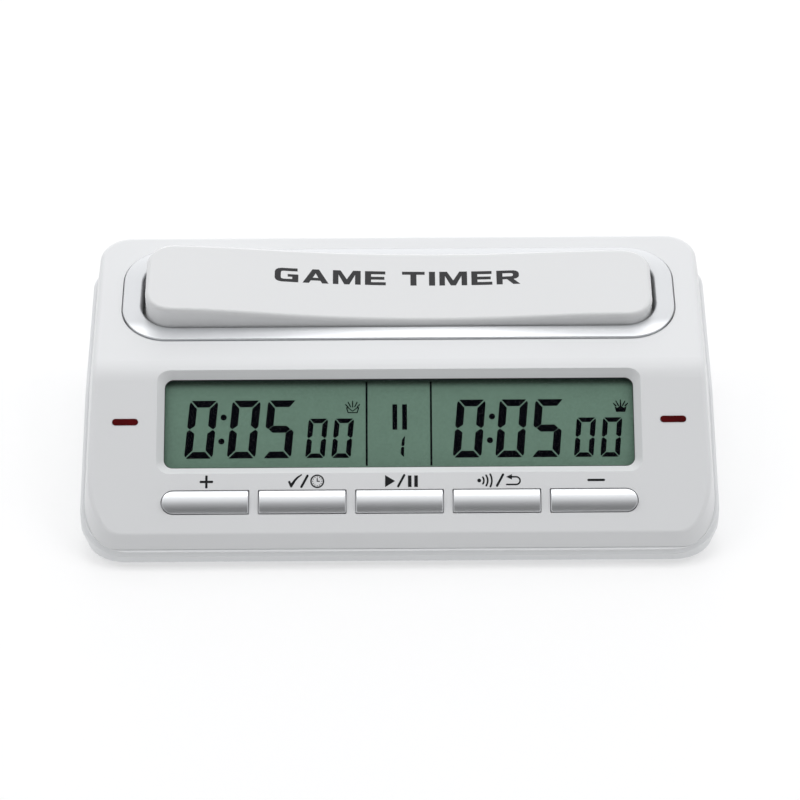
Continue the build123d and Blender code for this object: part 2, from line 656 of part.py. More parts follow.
def keypad_sheet():
    """sheet with a raised collar and an opening round each key rubber"""
    sheet_s = (6.0, 12.5)
    sheet = block(DISPLAY, 0, 60.5, sheet_s, (BOARD_N + CLEAR, -7.35), 1.0)
    for _, x, _ in KEYS:
        collar = block(DISPLAY, x, 6.3, (KEY_MID - 2.1, KEY_MID + 2.5), (-7.4, -5.6), 1.2)
        sheet += collar & block(DISPLAY, 0, 70, sheet_s, (-9, 0))
    for _, x, _ in KEYS:
        sheet -= block(DISPLAY, x, 5.35, around(KEY_MID, 1.75), (-10, -3), 1.1)
    return sheet


# ---------------------------------------------------------------- display stack and lamps
def lcd_frame():
    frame = block(DISPLAY, 0, 62.2, (13.5, 43.0), (BOARD_N + CLEAR, -3.0), 1.0)
    return frame - block(DISPLAY, 0, 60.5, (14.6, 42.2), (-9, 0), 0.4)


def contact_strip(span):
    return block(DISPLAY, 0, 57, span, (BOARD_N + CLEAR, LCD_BOTTOM - CLEAR))


def main_board():
    heights = (BOARD_N - BOARD_T, BOARD_N)
    board = block(DISPLAY, 0, 61.5, (6.4, 43.2), heights, 0.8)
    board += block(DISPLAY, 0, 71.0, (20.6, 36.3), heights, 1.5)
    for x, s in BOARD_POSTS:
        board -= disc(DISPLAY, x, s, (BOARD_N - 3, BOARD_N + 1), 1.1)
    return board


def board_components():
    """a round and an oblong part, and six small ones, under the main board"""
    face = BOARD_N - BOARD_T - CLEAR
    parts = [disc(DISPLAY, 0, 27, (face - 1.3, face), 6.5),
             block(DISPLAY, 22, 4, (26, 29.2), (face - 1.5, face), 1.5)]
    for x, s in ((-18, 30), (-18, 25), (-24, 30), (32, 33), (36, 33), (32, 24)):
        parts.append(block(DISPLAY, x, 1.6, around(s, 0.8), (face - 0.9, face)))
    return parts


def lamp_lens(side):
    """lens in its slot, with a flange under the panel and a stem down to the LED"""
    x = side * LAMP_X
    lens = block(DISPLAY, x, LAMP_L / 2, around(LAMP_S, LAMP_H / 2), (-2.3, 0.12),
                 LAMP_H / 2 - 0.01)
    lens += block(DISPLAY, x, 3.9, around(LAMP_S, 1.6), (-2.95, -2.05), 0.8)
    return lens + block(DISPLAY, x, 2.0, around(LAMP_S, 0.75), (-5.95, -2.9))


def lamp_led(side):
    return block(DISPLAY, side * LAMP_X, 1.6, around(LAMP_S, 0.9), (BOARD_N + CLEAR, -6.0), 0.3)


# ---------------------------------------------------------------- cells and contacts
def save_cells():
    """two cells lying in opposite directions, with a plate at each tip and a spring behind"""
    cells, plates, springs = [], [], []
    contact_x = BAY_X - 0.05
    plate_t = 0.35
    front_n = CELL_L / 2 + contact_x            # inner faces of the bay, along the cell
    back_n = CELL_L / 2 - contact_x
    for y, side in zip(CELL_Y, (1, -1)):
        plane = Plane(origin=(-side * CELL_L / 2, y, CELL_Z), x_dir=(0, 1, 0),
                      z_dir=(side, 0, 0))
        cell = extrude(plane * Circle(CELL_R), amount=CELL_L).solids()[0]
        cell = cell.fillet(0.6, cell.edges())
        cells.append(cell + disc(plane, 0, 0, (CELL_L - 0.2, CELL_L + 1.3), 2.7))

        plate = block(plane, 0, 5.5, (-5.5, 5.5), (front_n - plate_t, front_n), 1)
        plate += disc(plane, 0, 0, (CELL_L + 1.35, front_n - 0.2), 2.2)
        plates.append(plate)

        back = block(plane, 0, 5.5, (-5.5, 5.5), (back_n, back_n + plate_t), 1)
        height = contact_x - CELL_L / 2 - plate_t - 0.6 - 0.1
        helix = Helix(pitch=height / 3.0, height=height, radius=4.2, cone_angle=-18)
        spring = plane * (Pos(0, 0, back_n + plate_t + 0.24) * coil(helix, 0.3))
        springs.append(back + spring)
    save("battery_cells", *cells)
    save("battery_contact_plates", *plates)
    save("battery_contact_springs", *springs)


# ---------------------------------------------------------------- buzzer, power switch, feet
def buzzer():
    body = Cylinder(7.0, 3.4, align=(CENTRE, CENTRE, LOW))
    body -= Cylinder(1.0, 1.5, align=(CENTRE, CENTRE, LOW))
    return Pos(BUZZER_X, BUZZER_Y, FLOOR_TOP + CLEAR) * body


def power_switch_knob():
    """knob at the left end of its travel, with three grooves below and a stem above"""
    x, bottom = SWITCH_X - SWITCH_TRAVEL / 2, 1.15
    knob = Pos(x, SWITCH_Y, bottom) * extrude(RectangleRounded(5.0, 4.4, 0.7), amount=0.8)
    for i in range(3):
        knob -= upright_box(x + (i - 1) * 1.3, SWITCH_Y, bottom, 0.5, 3.6, 0.3)
    return knob + upright_box(x, SWITCH_Y, 1.8, 3.0, 2.3, 1.6)


def rubber_foot(x, y):
    foot = upright_rod(x, y, 0, FOOT_R, FOOT_H + 0.8 - CLEAR).solids()[0]
    return foot.fillet(0.4, [e for e in foot.edges() if abs(e.center().Z) < 0.01])


# ---------------------------------------------------------------- screws and leads
def pan_screw(plane, x, y, seat, head_r, head_h, shank_r, length):
    """pan head below the seat, shank above it, cross recess in the head"""
    bottom = seat - head_h
    body = disc(plane, x, y, (bottom, seat), head_r)
    body += disc(plane, x, y, (seat - 0.2, seat + length), shank_r)
    body = body.solids()[0]
    body = body.fillet(head_h * 0.35, [
        e for e in body.edges() if abs(plane.to_local_coords(e.center()).Z - bottom) < 0.01])
    arm, half_slot = head_r * 0.55, 0.25
    recess = (bottom - 1, seat - head_h * 0.45)
    body -= block(plane, x, arm, around(y, half_slot), recess)
    body -= block(plane, x, half_slot, around(y, arm), recess)
    return body


def save_screws():
    save("case_screws", *[
        pan_screw(Plane.XY, screw.x, screw.y, screw.seat_z - CLEAR, head_r=2.5, head_h=1.4,
                  shank_r=1.25, length=screw.length) for screw in CASE_SCREWS])
    main = [pan_screw(DISPLAY, x, s, BOARD_N - BOARD_T - CLEAR, head_r=1.9, head_h=1.1,
                      shank_r=0.9, length=5.2) for x, s in BOARD_POSTS]
    switch = [pan_screw(TOP, x, t, SWITCH_BOARD_N - SWITCH_BOARD_T - CLEAR, head_r=1.8,
                        head_h=0.9, shank_r=0.9, length=5.0) for x, t in SWITCH_POSTS]
    save("board_screws", *main, *switch)


# lead from the bay on the right, (x, y, z); mirrored on the left
BAY_LEAD = [(31.6, 13.0, 12.0), (33.5, 9.0, 14.0), (35.0, 2.0, 16.5), (36.0, -4.2, 20.4)]
# leads of buzzer and power switch: (x, y) from the middle of the part, at LEAD_Z
PART_LEADS = [
    [(-1.5, 0), (-1.6, 0.6), (-2.5, 2.0), (-3.0, 2.4)],
    [(1.5, 0), (1.6, 0.6), (1.0, 2.0), (0.5, 2.4)],
]
LEAD_Z = [10.5, 13.0, 15.4]     # heights after the first point


def lead(points):
    path = Wire([Edge.make_spline([Vector(*p) for p in points])])
    return sweep(Plane(origin=path @ 0, z_dir=path % 0) * Circle(0.55), path=path)


def lead_wires():
    leads = [lead([(side * x, y, z) for x, y, z in BAY_LEAD]) for side in SIDES]
    for part_x, part_y, start_z in ((BUZZER_X, BUZZER_Y, 7.5), (SWITCH_X, SWITCH_Y, 7.7)):
        for offsets in PART_LEADS:
            leads.append(lead([(part_x + dx, part_y + dy, z)
                               for (dx, dy), z in zip(offsets, [start_z] + LEAD_Z)]))
    return leads


def ribbon_cable():
    """ribbon from the main board's underside to the edge of the switch board"""
    main = DISPLAY.from_local_coords((0, 39.5, BOARD_N - 1.75))
    switch = TOP.from_local_coords((0, 20.2, SWITCH_BOARD_N - 0.6))
    return prism_yz([
        (main.Y, main.Z), (main.Y + 1.2, main.Z - 2.2, 0.8), (switch.Y, switch.Z),
        (switch.Y, switch.Z - 0.4), (main.Y + 1.0, main.Z - 2.6, 0.8),
        (main.Y - 0.4, main.Z - 0.1)], 4.5)


# ---------------------------------------------------------------- all parts
save("upper_case", upper_case())
save("lower_case", lower_case())
save("battery_door", battery_door())
save("rocker_bezel_ring", bezel_ring())
save("rocker", rocker())
save("rocker_axle", disc(AXLE, 0, 0, (0.2, 18.5), AXLE_R))
save("friction_washers", *[washer(t) for t in WASHER_STARTS])
save_plungers()
save("tact_switches", *[tact_switch(side) for side in SIDES])
save("switch_board", switch_board())
for key_name, key_x, key_end in KEYS:
    save(key_name, key_cap(key_x, key_end))
    save(key_name + "_rubber", key_rubber(key_x))
save("keypad_sheet", keypad_sheet())
save("display_lens", block(DISPLAY, 0, 60.4, (14.7, 42.1), (-3.45, -2.62), 1.5))
save("lcd_glass", block(DISPLAY, 0, 60.2, (14.9, 42.0), (LCD_BOTTOM, -3.5), 0.3))
save("lcd_frame", lcd_frame())
save("contact_strips", contact_strip((15.6, 17.6)), contact_strip((39.4, 41.4)))
save("main_board", main_board())
save("board_components", *board_components())
save("lamp_lens_left", lamp_lens(-1))
save("lamp_lens_right", lamp_lens(1))
save("lamp_leds", *[lamp_led(side) for side in SIDES])
save_cells()
save("buzzer", buzzer())
save("power_switch_body", upright_box(SWITCH_X, SWITCH_Y, FLOOR_TOP + 0.05, 9.0, 4.6, 3.6))
save("power_switch_knob", power_switch_knob())
save("rubber_feet", *[rubber_foot(x, y) for x, y in FOOT_XY])
save_screws()
save("lead_wires", *lead_wires())
save("ribbon_cable", ribbon_cable())
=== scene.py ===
"""Looks of a two-player game timer: materials, key legends, LCD image and rocker lettering.

X runs left to right, -Y is the front, where the camera stands, and +Z is up. The floor is z = 0.
The display panel and the rocker slope; their prints are drawn in mm, as (x, distance up the slope).
"""
import bpy, bmesh, json, math
from mathutils import Vector, Matrix
from mathutils.bvhtree import BVHTree
from mathutils.geometry import delaunay_2d_cdt


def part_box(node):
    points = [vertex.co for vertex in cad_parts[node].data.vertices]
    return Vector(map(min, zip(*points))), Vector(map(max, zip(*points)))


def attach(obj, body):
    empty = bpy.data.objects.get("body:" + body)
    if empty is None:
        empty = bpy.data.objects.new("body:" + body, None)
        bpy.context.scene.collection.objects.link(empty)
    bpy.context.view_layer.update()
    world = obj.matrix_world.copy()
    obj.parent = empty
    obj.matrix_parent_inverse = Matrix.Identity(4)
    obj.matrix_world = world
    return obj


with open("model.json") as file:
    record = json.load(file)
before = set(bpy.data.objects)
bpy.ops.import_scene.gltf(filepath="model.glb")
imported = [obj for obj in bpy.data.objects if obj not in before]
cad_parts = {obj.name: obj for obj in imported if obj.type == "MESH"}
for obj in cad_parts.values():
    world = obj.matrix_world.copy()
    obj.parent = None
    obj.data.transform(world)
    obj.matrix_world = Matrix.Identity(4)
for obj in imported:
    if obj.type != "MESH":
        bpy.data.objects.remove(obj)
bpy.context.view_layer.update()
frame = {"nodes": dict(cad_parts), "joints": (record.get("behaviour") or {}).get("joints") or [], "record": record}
nodes = frame["nodes"]
joints = {j["name"]: j for j in frame["joints"]}

# ------------------------------------------------------------------ panel frames, in metres
GLASS_MID_UP = 0.02845       # display panel's front edge to the middle of the LCD glass
GLASS_MID_DEEP = 0.004925    # middle of the glass below the display panel
TILT_UP = 0.02693            # rocker origin to the tilt joint, up the slope
TILT_DEEP = 0.0035           # tilt joint below the rocker origin

display_normal = -Vector(joints["key_start_pause_press"]["axis"]).normalized()
display_up = Vector((0, display_normal.z, -display_normal.y))
glass_low, glass_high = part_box("lcd_glass")
display_origin = ((glass_low + glass_high) / 2 - display_up * GLASS_MID_UP
                  + display_normal * GLASS_MID_DEEP)

rocker_up = Vector(joints["rocker_tilt"]["axis"]).normalized()
rocker_normal = Vector((0, -rocker_up.z, rocker_up.y))
rocker_origin = (Vector(joints["rocker_tilt"]["pos_m"]) - rocker_up * TILT_UP
                 + rocker_normal * TILT_DEEP)


def panel(origin, along, normal):
    """placing function of a panel: x, up the slope and out of the surface, in mm"""
    return lambda x, up, out: (origin + Vector((x, 0, 0)) / 1000 + along * up / 1000
                               + normal * out / 1000)


on_display = panel(display_origin, display_up, display_normal)
over_rocker = panel(rocker_origin, rocker_up, rocker_normal)


# ------------------------------------------------------------------ shader helpers
def feed(tree, target, inputs):
    """link or set inputs, given by name or index"""
    for key, value in inputs.items():
        if isinstance(value, bpy.types.NodeSocket):
            tree.links.new(value, target.inputs[key])
        else:
            target.inputs[key].default_value = value


def node(tree, kind, inputs=None, **settings):
    made = tree.nodes.new("ShaderNode" + kind)
    for key, value in settings.items():
        setattr(made, key, value)
    feed(tree, made, inputs or {})
    return made


def noise(tree, coords, scale, detail=2.0):
    return node(tree, "TexNoise", {"Vector": coords, "Scale": scale, "Detail": detail})


def calc(tree, operation, *values):
    return node(tree, "Math", dict(enumerate(values)), operation=operation).outputs[0]


def ramp(tree, factor, stops):
    """colour ramp; stops are (position, rgb)"""
    made = node(tree, "ValToRGB", {"Fac": factor})
    points = made.color_ramp.elements
    for point, (position, rgb) in zip(points, (stops[0], stops[-1])):
        point.position = position
        point.color = (*rgb, 1)
    for position, rgb in stops[1:-1]:
        points.new(position).color = (*rgb, 1)
    return made.outputs["Color"]


def new_material(name):
    mat = bpy.data.materials.new(name)
    mat.use_nodes = True
    return mat, mat.node_tree


def srgb(*channels):
    """linear colour from 0-255 sRGB"""
    def linear(c):
        c /= 255.0
        return c / 12.92 if c <= 0.04045 else ((c + 0.055) / 1.055) ** 2.4
    return tuple(linear(c) for c in channels)


# ------------------------------------------------------------------ materials
def material(name, base, rough=0.5, metallic=0.0, spec=0.5, coat=0.0, coat_rough=0.1,
             drift=0.03, drift_scale=60.0, grain=900.0, grain_depth=0.0, rough_drift=0.06,
             speck=0.0):
    """moulded or plated surface: slow colour drift, fine grain bump (depth in metres),
    grain specks in the colour, uneven gloss"""
    mat, tree = new_material(name)
    shader = tree.nodes["Principled BSDF"]
    coords = node(tree, "TexCoord").outputs["Object"]
    slow = noise(tree, coords, drift_scale, 4.0).outputs["Fac"]
    darker = tuple(c * (1 - 2 * drift) for c in base)
    color = ramp(tree, slow, [(0.3, darker), (0.7, base)])
    if speck > 0 or grain_depth > 0:
        fine = noise(tree, coords, grain, 3.0)
    if speck > 0:
        mix = node(tree, "Mix", {0: speck, 6: color}, data_type="RGBA", blend_type="OVERLAY")
        grey = node(tree, "RGBToBW", {0: fine.outputs["Color"]})
        feed(tree, mix, {7: grey.outputs[0]})
        color = mix.outputs[2]
    gloss = node(tree, "MapRange", {"Value": slow, "To Min": rough - rough_drift,
                                    "To Max": rough + rough_drift})
    feed(tree, shader, {
        "Base Color": color, "Roughness": gloss.outputs["Result"], "Metallic": metallic,
        "Specular IOR Level": spec, "IOR": 1.5, "Coat Weight": coat,
        "Coat Roughness": coat_rough})
    if grain_depth > 0:
        bump = node(tree, "Bump", {"Strength": 1.0, "Distance": grain_depth,
                                   "Height": fine.outputs["Fac"]})
        feed(tree, shader, {"Normal": bump.outputs["Normal"]})
    return mat


def clear_material(name, tint, gloss):
    """thin clear acrylic: passes light, keeps a faint sheen that grows at grazing angles"""
    mat, tree = new_material(name)
    tree.nodes.remove(tree.nodes["Principled BSDF"])
    through = node(tree, "BsdfTransparent", {0: (*tint, 1)})
    coords = node(tree, "TexCoord").outputs["Object"]
    uneven = node(tree, "MapRange", {"Value": noise(tree, coords, 55.0).outputs["Fac"],
                                     "To Min": 0.03, "To Max": 0.12})
    sheen = node(tree, "BsdfGlossy", {"Roughness": uneven.outputs["Result"]})
    facing = node(tree, "LayerWeight", {"Blend": 0.5}).outputs["Facing"]
    grazing = calc(tree, "POWER", facing, 5.0)
    # share of sheen: 4 % of the gloss head on, 60 % more at the edge
    share = calc(tree, "MULTIPLY_ADD", grazing, 0.6 * gloss, 0.04 * gloss)
    mix = node(tree, "MixShader", {0: share, 1: through.outputs[0], 2: sheen.outputs[0]})
    feed(tree, tree.nodes["Material Output"], {"Surface": mix.outputs[0]})
    return mat


mats = {}      # by material slot of the record
mats["case_upper"] = material(
    "case_upper", (0.800, 0.808, 0.818), rough=0.42, spec=0.45, drift=0.006, drift_scale=25,
    grain=2600, grain_depth=6e-6, speck=0.015)
mats["case_lower"] = material(
    "case_lower", (0.790, 0.802, 0.814), rough=0.46, spec=0.42, drift=0.006, drift_scale=25,
    grain=2600, grain_depth=8e-6, speck=0.015)
mats["battery_door"] = mats["case_lower"]
mats["rocker"] = material(
    "rocker_white", (0.762, 0.768, 0.774), rough=0.20, spec=0.45, coat=0.25, coat_rough=0.08,
    drift=0.004, drift_scale=18, grain=1200, grain_depth=6e-7, rough_drift=0.03)
mats["satin_trim"] = material(
    "satin_trim", (0.94, 0.955, 0.975), rough=0.36, metallic=0.70, drift=0.01, drift_scale=40,
    grain=3000, grain_depth=2e-6, rough_drift=0.03)
mats["key_caps"] = material(
    "key_satin", (0.81, 0.822, 0.84), rough=0.31, metallic=0.9, drift=0.01, grain=3600,
    grain_depth=3e-6, rough_drift=0.04, speck=0.06)
mats["steel_pin"] = material(
    "steel_pin", (0.55, 0.55, 0.56), rough=0.28, metallic=1.0, drift=0.04, drift_scale=300,
    grain=4000, grain_depth=2e-6)
mats["spring_steel"] = material(
    "spring_steel", (0.60, 0.60, 0.57), rough=0.25, metallic=1.0, drift=0.04, drift_scale=300,
    grain=4000, grain_depth=2e-6)
mats["screw_steel"] = material(
    "screw_zinc", (0.50, 0.51, 0.53), rough=0.32, metallic=1.0, drift=0.06, drift_scale=500,
    grain=3000, grain_depth=4e-6)
mats["white_plastic"] = material(
    "natural_plastic", (0.72, 0.72, 0.70), drift=0.02, grain=2000, grain_depth=6e-6)
mats["black_plastic"] = material(
    "black_plastic", (0.018, 0.018, 0.020), rough=0.42, drift=0.15, drift_scale=200,
    grain=2600, grain_depth=1e-5)
mats["key_rubber"] = material(
    "key_silicone", (0.16, 0.165, 0.17), rough=0.62, drift=0.05, grain=1800, grain_depth=8e-6)
mats["contact_rubber"] = material(
    "strip_silicone", (0.55, 0.22, 0.27), rough=0.6, drift=0.2, drift_scale=900,
    grain=2500, grain_depth=8e-6)
mats["foot_rubber"] = material(
    "foot_rubber", (0.020, 0.020, 0.021), rough=0.78, spec=0.3, drift=0.15, drift_scale=150,
    grain=1500, grain_depth=2e-5)
mats["clear_lens"] = clear_material("clear_lens", tint=(0.97, 0.99, 0.98), gloss=0.06)
mats["lcd_glass"] = material(
    "lcd_film", srgb(118, 143, 129), spec=0.1, drift_scale=130, grain=1500, speck=0.22,
    rough_drift=0.05)
mats["lamp_lens"] = material(
    "lamp_lens_red", srgb(88, 2, 5), rough=0.25, spec=0.06, coat=0.03, drift=0.18,
    drift_scale=420, grain=1800, grain_depth=2e-6)
mats["circuit_board"] = material(
    "circuit_board", (0.02, 0.12, 0.05), rough=0.38, drift=0.2, drift_scale=350, grain=2200,
    grain_depth=6e-6)
mats["battery_jacket"] = material(
    "battery_sleeve", (0.05, 0.055, 0.07), rough=0.25, coat=0.5, drift=0.1, drift_scale=90,
    grain=2200, grain_depth=3e-6)
mats["wire_jacket"] = material(
    "wire_jacket", (0.22, 0.02, 0.015), rough=0.45, drift=0.1, drift_scale=300, grain=2600,
    grain_depth=4e-6)
mats["ribbon_jacket"] = material(
    "ribbon_jacket", (0.52, 0.52, 0.49), rough=0.4, drift=0.05, drift_scale=600, grain=2600,
    grain_depth=4e-6)
mats["print_dark"] = material(
    "print_dark", srgb(22, 23, 26), spec=0.2, drift=0.1, drift_scale=900, grain=3000,
    grain_depth=3e-6)
mats["print_rocker"] = material(
    "print_rocker", srgb(46, 46, 48), rough=0.45, spec=0.2, drift=0.08, drift_scale=900,
    grain=3000, grain_depth=2e-6)
mats["lcd_ink"] = material(
    "lcd_ink", srgb(6, 6, 12), rough=0.6, spec=0.0, drift=0.1, drift_scale=700)


def paint_shade_band(mat, origin, along, start, end, dark):
    """painted shade: the base colour falls to `dark` between start and end, in mm along one panel direction"""
    tree = mat.node_tree
    shader = tree.nodes["Principled BSDF"]
    color = shader.inputs["Base Color"].links[0].from_socket
    position = node(tree, "NewGeometry").outputs["Position"]
    reach = node(tree, "VectorMath", {0: position, 1: along}, operation="DOT_PRODUCT")
    zero = origin.dot(along)
    tone = node(tree, "MapRange", {
        "Value": reach.outputs["Value"], "From Min": zero + start / 1000,
        "From Max": zero + end / 1000, "To Min": 1.0, "To Max": dark},
        interpolation_type="SMOOTHSTEP")
    shaded = node(tree, "VectorMath", {0: color, "Scale": tone.outputs["Result"]},
                  operation="SCALE")
    feed(tree, shader, {"Base Color": shaded.outputs[0]})


# painted shadow: the top of the film is darkened as if shaded by the window rim
paint_shade_band(mats["lcd_glass"], display_origin, display_up, start=37.6, end=39.5, dark=0.30)
# painted highlight: the ring keeps its full colour along the front run and is darkened to 0.58 behind it, for the
# light the front run catches
paint_shade_band(mats["satin_trim"], rocker_origin, rocker_up, start=12.5, end=17.0, dark=0.58)

slot_of = {s["node"]: s["material_slot"] for s in frame["record"]["subparts"]}
for name, piece in nodes.items():
    mat = mats[slot_of[name]]
    if piece.material_slots:
        for slot in piece.material_slots:
            slot.material = mat
    else:
        piece.data.materials.append(mat)


# ------------------------------------------------------------------ thin raised shapes
def area2(loop):
    """twice the signed area, positive when counter-clockwise"""
    return sum(loop[i][0] * loop[(i + 1) % len(loop)][1]
               - loop[(i + 1) % len(loop)][0] * loop[i][1] for i in range(len(loop)))


def inside(x, y, loop):
    odd = False
    for i in range(len(loop)):
        (x1, y1), (x2, y2) = loop[i], loop[(i + 1) % len(loop)]
        if (y1 > y) != (y2 > y) and x < (x2 - x1) * (y - y1) / (y2 - y1) + x1:
            odd = not odd
    return odd


def add_plate(bm, loops, place, bottom, top):
    """closed thin prism on a panel, in mm; the first loop is the outline, the rest are holes"""
    loops = [loop if (area2(loop) > 0) == (i == 0) else loop[::-1]
             for i, loop in enumerate(loops)]
    points, edges = [], []
    for loop in loops:
        first = len(points)
        points += [Vector(p) for p in loop]
        edges += [(first + i, first + (i + 1) % len(loop)) for i in range(len(loop))]
    # 1 fills the outline with triangles, 5 makes mesh-ready faces and knows of holes
    mode = 5 if len(loops) > 1 else 1
    flat, _, faces, *_ = delaunay_2d_cdt(points, edges, [], mode, 1e-6)
    low = [bm.verts.new(place(v[0], v[1], bottom)) for v in flat]
    high = [bm.verts.new(place(v[0], v[1], top)) for v in flat]
    sides = {}      # directed edges, in the order met
    for face in faces:
        mid_x = sum(flat[i][0] for i in face) / len(face)
        mid_y = sum(flat[i][1] for i in face) / len(face)
        if (not inside(mid_x, mid_y, loops[0])
                or any(inside(mid_x, mid_y, hole) for hole in loops[1:])):
            continue
        if area2([flat[i] for i in face]) < 0:
            face = face[::-1]
        bm.faces.new([high[i] for i in face])
        bm.faces.new([low[i] for i in reversed(face)])
        for i in range(len(face)):
            sides[face[i], face[(i + 1) % len(face)]] = True
    for a, b in sides:
        if (b, a) not in sides:
            bm.faces.new((low[a], low[b], high[b], high[a]))
    for v in low + high:
        if not v.link_faces:
            bm.verts.remove(v)


def build(name, mat, shapes, span, body="case", place=on_display):
    """one object of plates; each shape is a list of loops, span is (bottom, top) in mm"""
    bm = bmesh.new()
    for loops in shapes:
        add_plate(bm, loops, place, *span)
    mesh = bpy.data.meshes.new(name)
    bm.to_mesh(mesh)
    bm.free()
    made = bpy.data.objects.new(name, mesh)
    bpy.context.scene.collection.objects.link(made)
    made.data.materials.append(mat)
    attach(made, body)


def shift(points, x, y):
    return [(x + px, y + py) for px, py in points]


def polar(x, y, radius, angle):
    return (x + radius * math.cos(angle), y + radius * math.sin(angle))


def circle(x, y, radius, count=28):
    return [polar(x, y, radius, 2 * math.pi * i / count) for i in range(count)]


def arc(x, y, radius, start, end, steps=10):
    """points of an arc, angles in degrees"""
    return [polar(x, y, radius, math.radians(start + (end - start) * i / steps))
            for i in range(steps + 1)]


def box(x0, y0, x1, y1):
    return [(x0, y0), (x1, y0), (x1, y1), (x0, y1)]


def rounded_box(x0, y0, x1, y1, radius):
    left, right, low, high = x0 + radius, x1 - radius, y0 + radius, y1 - radius
    out = []
    for x, y, start in ((right, low, -90), (right, high, 0), (left, high, 90), (left, low, 180)):
        out += arc(x, y, radius, start, start + 90, 8)
    return out


def between(a, b):
    return (b[0] - a[0], b[1] - a[1])


def round_end(tip, before, width):
    dx, dy = between(before, tip)
    angle = math.atan2(dy, dx)
    return [polar(*tip, width / 2, angle + math.pi / 2 - math.pi * i / 6) for i in range(1, 6)]


def stroke(points, width, cap=True, end_width=None):
    """outline of a pen line that may taper to end_width, with round ends if cap"""
    last = len(points) - 1
    if end_width is None:
        end_width = width
    widths = [width + (end_width - width) * i / last for i in range(last + 1)]
    left, right = [], []
    for i, (x, y) in enumerate(points):
        if i == 0:
            dx, dy = between(points[0], points[1])
        elif i == last:
            dx, dy = between(points[-2], points[-1])
        else:
            before = Vector(between(points[i - 1], points[i])).normalized()
            after = Vector(between(points[i], points[i + 1])).normalized()
            dx, dy = before.x + after.x, before.y + after.y
        length = math.hypot(dx, dy)
        nx, ny = -dy / length, dx / length
        half = widths[i] / 2
        left.append((x + nx * half, y + ny * half))
        right.append((x - nx * half, y - ny * half))
    if not cap:
        return left + right[::-1]
    return (left + round_end(points[-1], points[-2], widths[-1]) + right[::-1]
            + round_end(points[0], points[1], widths[0]))


# ------------------------------------------------------------------ key legends
PRINT_SPAN = (-0.03, 0.035)     # sunk a little, so that no gap shows
LEGEND_Y = 13.08                # middle line of the legends


def legend(name, outlines, rings=()):
    build(name, mats["print_dark"], [[o] for o in outlines] + list(rings), PRINT_SPAN)


def plus_sign(x, y, reach, half, cut):
    """cross with cut corners; one arm, turned four times"""
    arm = [(half, half), (half, reach - cut), (half - cut, reach), (-half + cut, reach),
           (-half, reach - cut)]
    out = []
    for _ in range(4):
        out += arm
        arm = [(-py, px) for px, py in arm]
    return shift(out, x, y)


def slash(x):
    return stroke([(x - 0.74, LEGEND_Y - 1.38), (x + 0.74, LEGEND_Y + 1.42)], 0.56)


def time_mode_legend():
    """tick, slash and clock face"""
    tick = [(-27.12, 13.00), (-26.72, 13.30), (-26.32, 12.62), (-25.70, 13.45),
            (-25.05, 14.15), (-23.80, 14.95), (-23.70, 14.66), (-24.62, 13.90),
            (-25.20, 13.20), (-25.80, 12.20), (-26.22, 11.52), (-26.52, 11.60),
            (-26.86, 12.40)]
    x, y = clock = (-20.0, LEGEND_Y)
    hands = [stroke([clock, (x, y + 0.78)], 0.24, cap=False),
             stroke([(x - 0.12, y), (x + 0.62, y)], 0.22, cap=False)]
    hours = [stroke([polar(x, y, 0.98, a), polar(x, y, 1.24, a)], 0.16, cap=False)
             for a in (math.pi * i / 6 for i in range(12))]
    rim = [circle(x, y, 1.70, 48), circle(x, y, 1.36, 48)]
    legend("legend_time_mode", [tick, slash(-23.1)] + hands + hours, [rim])


def sound_legend():
    """dot with three waves, slash and return arrow"""
    y = 13.03
    waves = [stroke(arc(19.0, y, radius, -half, half), 0.42)
             for radius, half in ((1.52, 33), (2.45, 32), (3.45, 27))]
    hook = ([(26.05, 11.98), (28.35, 11.98)] + arc(28.35, 12.95, 0.97, -90, 90, 12)[1:]
            + [(27.2, 13.92)])
    head = [(25.95, 13.92), (27.35, 14.60), (27.35, 13.24)]
    legend("legend_sound", [circle(19.38, y, 0.47), *waves, slash(24.45), stroke(hook, 0.38),
                            head])


legend("legend_plus", [plus_sign(-46.95, LEGEND_Y, reach=1.62, half=0.29, cut=0.10)])
time_mode_legend()
legend("legend_start_pause", [
    [(-3.50, 11.50), (-1.08, LEGEND_Y - 0.05), (-3.50, 14.55)],
    slash(0.42), box(2.06, 11.50, 2.92, 14.40), box(3.60, 11.50, 4.46, 14.40)])
sound_legend()
legend("legend_minus", [stroke([(45.95, 13.0), (49.70, 13.0)], 0.58)])

# ------------------------------------------------------------------ window ring of painted shade
# thin black ring round the inside of the window, under the clear lens: painted shade, it darkens the window's
# inner edge where shade falls
build("window_shade_ring", mats["black_plastic"],
      [[rounded_box(-57.56, 17.15, 57.56, 39.78, 2.18),
        rounded_box(-57.45, 17.26, 57.45, 39.66, 2.07)]], (-2.60, -2.14))

# ------------------------------------------------------------------ LCD image
INK_SPAN = (-3.495, -3.47)      # between the glass and the window
SLANT = math.tan(math.radians(5.1))
ZERO, FIVE = "ABCDEF", "AFGCD"  # lit bars, lettered clockwise from the top, G in the middle
# height, width, bar thickness, gap between bars
LARGE = (14.82, 6.98, 1.90, 0.25)
SMALL = (10.05, 4.75, 1.27, 0.18)


def ink(name, outlines):
    build(name, mats["lcd_ink"], [[o] for o in outlines], INK_SPAN)


